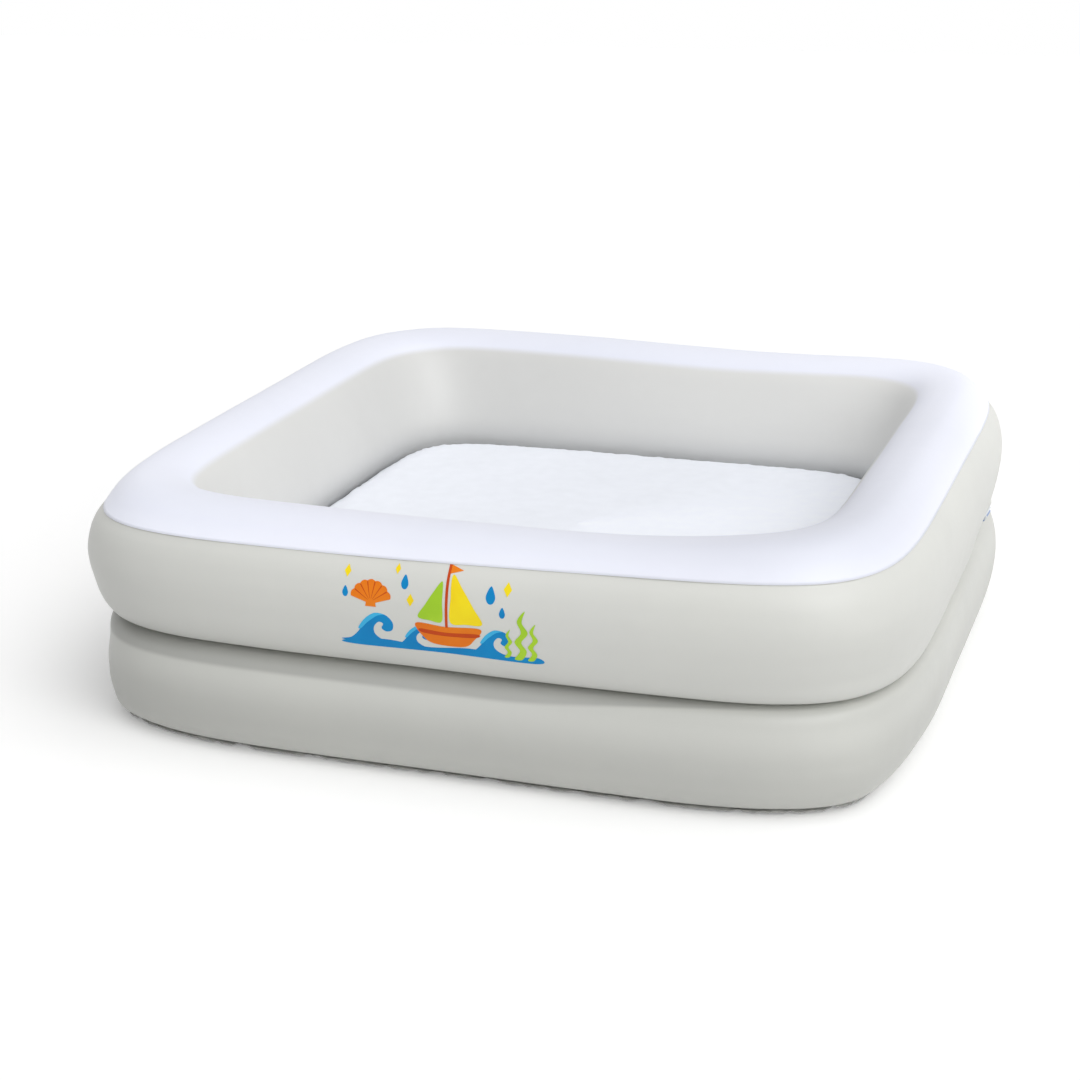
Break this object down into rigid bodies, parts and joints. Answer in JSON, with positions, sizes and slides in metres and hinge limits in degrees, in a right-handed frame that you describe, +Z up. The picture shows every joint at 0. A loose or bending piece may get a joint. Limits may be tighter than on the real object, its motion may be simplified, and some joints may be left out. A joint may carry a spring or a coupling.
{
  "type": "inflatable bathtub",
  "caption": "Square inflatable bathtub for small children, with stacked air rings, a raised soft air floor, push-in air valves and a drain with its plug on a strap.",
  "frame": {"origin": "centre of the flat underside, on the surface that the tub stands on", "axes": "+Z up; -Y is the front, which carries the print; +X is the side with the upper ring's valve"},
  "size_m": [0.8604, 0.8604, 0.247],
  "materials": {
    "film": "satin white vinyl film",
    "floor_film": "matt white vinyl film",
    "fitting": "soft moulded white vinyl",
    "flap": "thin clear-white vinyl"
  },
  "bodies": {
    "tub": {"upper_outer_wall": "film", "upper_inner_sheet": "film", "ring_divider": "film", "lower_outer_wall": "film", "lower_inner_wall": "film", "floor_top_sheet": "floor_film", "bottom_sheet": "film", "floor_tie_1": "film", "floor_tie_2": "film", "floor_tie_3": "film", "floor_tie_4": "film", "floor_tie_5": "film", "upper_valve_base": "fitting", "lower_valve_base": "fitting", "floor_valve_base": "fitting", "drain_seat": "fitting"},
    "upper_valve_stem": {"upper_valve_stem": "fitting"},
    "upper_valve_plug": {"upper_valve_plug": "fitting"},
    "upper_valve_flap": {"upper_valve_flap": "flap"},
    "lower_valve_stem": {"lower_valve_stem": "fitting"},
    "lower_valve_plug": {"lower_valve_plug": "fitting"},
    "lower_valve_flap": {"lower_valve_flap": "flap"},
    "floor_valve_stem": {"floor_valve_stem": "fitting"},
    "floor_valve_plug": {"floor_valve_plug": "fitting"},
    "floor_valve_flap": {"floor_valve_flap": "flap"},
    "drain_plug": {"drain_plug": "fitting"}
  },
  "joints": [
    {"name": "upper_valve_push", "type": "slide", "parent": "tub", "child": "upper_valve_stem", "axis": [0.8793, 0, -0.4763], "range_m": [0, 0.012]},
    {"name": "upper_plug_hinge", "type": "hinge", "parent": "upper_valve_stem", "child": "upper_valve_plug", "pos_m": [0.41943, 0.1849, 0.12402], "axis": [0.4763, 0, 0.8793], "range_deg": [0, 150]},
    {"name": "upper_flap_hinge", "type": "hinge", "parent": "upper_valve_stem", "child": "upper_valve_flap", "pos_m": [0.40329, 0.1799, 0.13276], "axis": [-0.4763, 0, -0.8793], "range_deg": [0, 60], "stiffness_Nm_per_rad": 0.00005, "springref_deg": -28.65},
    {"name": "lower_valve_push", "type": "slide", "parent": "tub", "child": "lower_valve_stem", "axis": [0, 0.8539, 0.5205], "range_m": [0, 0.012]},
    {"name": "lower_plug_hinge", "type": "hinge", "parent": "lower_valve_stem", "child": "lower_valve_plug", "pos_m": [-0.1849, 0.42498, 0.08839], "axis": [0, -0.5205, 0.8539], "range_deg": [0, 150]},
    {"name": "lower_flap_hinge", "type": "hinge", "parent": "lower_valve_stem", "child": "lower_valve_flap", "pos_m": [-0.1799, 0.40931, 0.07884], "axis": [0, 0.5205, -0.8539], "range_deg": [0, 60], "stiffness_Nm_per_rad": 0.00005, "springref_deg": -28.65},
    {"name": "floor_valve_push", "type": "slide", "parent": "tub", "child": "floor_valve_stem", "axis": [0, 0, 1], "range_m": [0, 0.012]},
    {"name": "floor_plug_hinge", "type": "hinge", "parent": "floor_valve_stem", "child": "floor_valve_plug", "pos_m": [0.1599, -0.15, 0.13362], "axis": [0, 1, 0], "range_deg": [0, 150]},
    {"name": "floor_flap_hinge", "type": "hinge", "parent": "floor_valve_stem", "child": "floor_valve_flap", "pos_m": [0.1549, -0.15, 0.11528], "axis": [0, -1, 0], "range_deg": [0, 60], "stiffness_Nm_per_rad": 0.00005, "springref_deg": -28.65},
    {"name": "drain_plug_hinge", "type": "hinge", "parent": "tub", "child": "drain_plug", "pos_m": [-0.133, -0.15, 0.13182], "axis": [0, 1, 0], "range_deg": [0, 150]}
  ]
}
